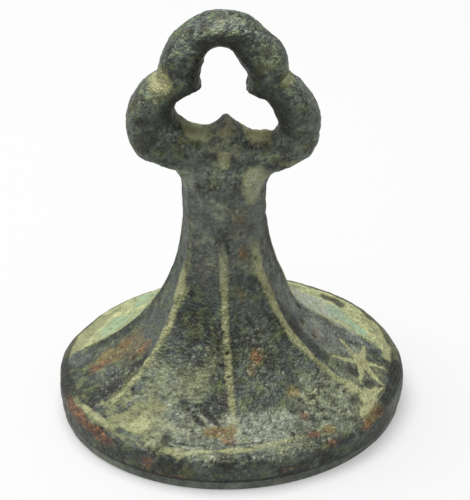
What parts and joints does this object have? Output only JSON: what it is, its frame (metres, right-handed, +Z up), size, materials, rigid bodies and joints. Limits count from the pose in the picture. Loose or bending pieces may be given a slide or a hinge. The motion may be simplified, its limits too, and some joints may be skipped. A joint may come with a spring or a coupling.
{
  "type": "wax seal stamp",
  "caption": "Hand stamp for sealing wax: a round engraved die under a flared, faceted stem, with a trefoil loop handle to hold it or hang it by.",
  "frame": {"origin": "centre of the die's flat engraved face, the bottom centre of the bounding box", "axes": "+Z up along the stem towards the loop, X across the loop's width, front towards -Y"},
  "size_m": [0.02, 0.02, 0.025],
  "materials": {
    "die_bronze": "dark worn bronze, engraved face",
    "stem_bronze": "patinated bronze with pale worn ridges and rust stains",
    "loop_bronze": "dark grey-green patinated bronze",
    "solder": "dark oxidised hard solder"
  },
  "bodies": {
    "root": {"die_plate": "die_bronze", "die_solder": "solder", "stem": "stem_bronze", "loop_solder": "solder", "trefoil_loop": "loop_bronze"}
  },
  "joints": []
}
